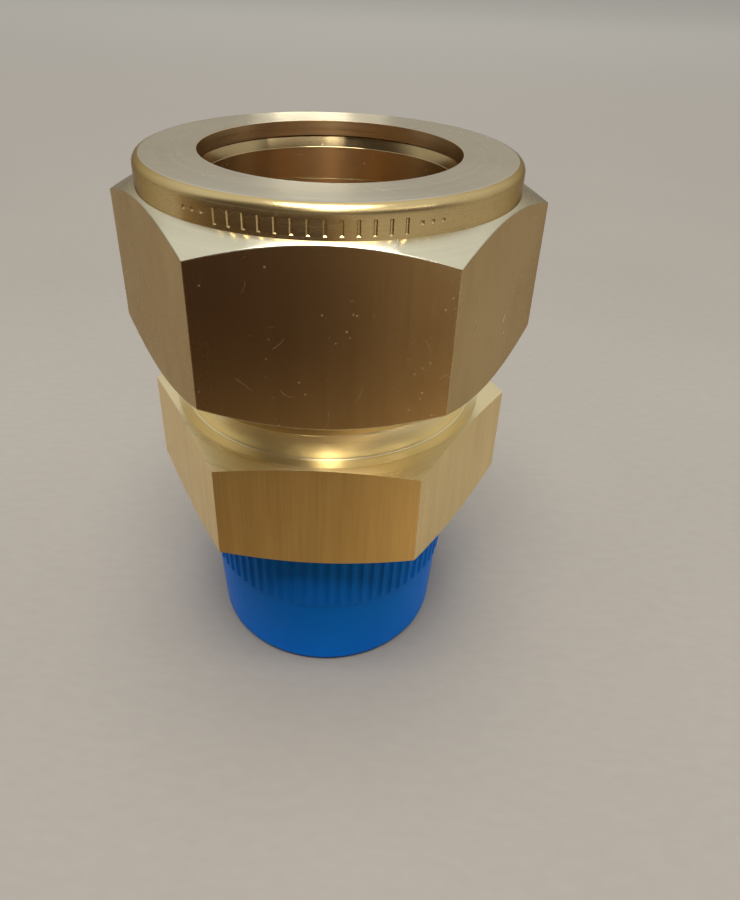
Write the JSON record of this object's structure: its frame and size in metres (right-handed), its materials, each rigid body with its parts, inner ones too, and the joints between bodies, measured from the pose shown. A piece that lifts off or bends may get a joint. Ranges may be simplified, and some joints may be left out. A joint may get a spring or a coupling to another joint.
{
  "type": "male connector compression tube fitting",
  "caption": "Straight brass twin-ferrule compression connector for tube, with hexagon nut and body and a ribbed push-on cap over its male taper pipe thread.",
  "frame": {"origin": "centre of the cap's underside, on the fitting's axis", "axes": "+Z along the fitting's axis, from the cap up to the nut's tube opening; one flat of the body's hexagon faces -Y"},
  "size_m": [0.044, 0.0388, 0.0581],
  "materials": {
    "body_brass": "satin, drawn flats and bright turned faces",
    "nut_brass": "satin, slightly toned",
    "ferrule_brass": "bright turned",
    "cap_plastic": "soft gloss polyethylene"
  },
  "bodies": {
    "cap": {"thread_cap": "cap_plastic"},
    "connector": {"connector_body": "body_brass"},
    "ferrules": {"front_ferrule": "ferrule_brass", "back_ferrule": "ferrule_brass"},
    "nut": {"tube_nut": "nut_brass"}
  },
  "joints": [
    {"name": "cap_pull", "type": "slide", "parent": "cap", "child": "connector", "axis": [0, 0, 1], "range_m": [0, 0.022]},
    {"name": "nut_travel", "type": "slide", "parent": "connector", "child": "ferrules", "axis": [0, 0, 1], "range_m": [0, 0.0089]},
    {"name": "nut_turn", "type": "hinge", "parent": "ferrules", "child": "nut", "pos_m": [0, 0, 0.045], "axis": [0, 0, 1], "range_deg": [0, 2520]}
  ],
  "couplings": [
    {"joint": "nut_travel", "follows": "nut_turn", "m_per_rad": 0.00020213}
  ]
}
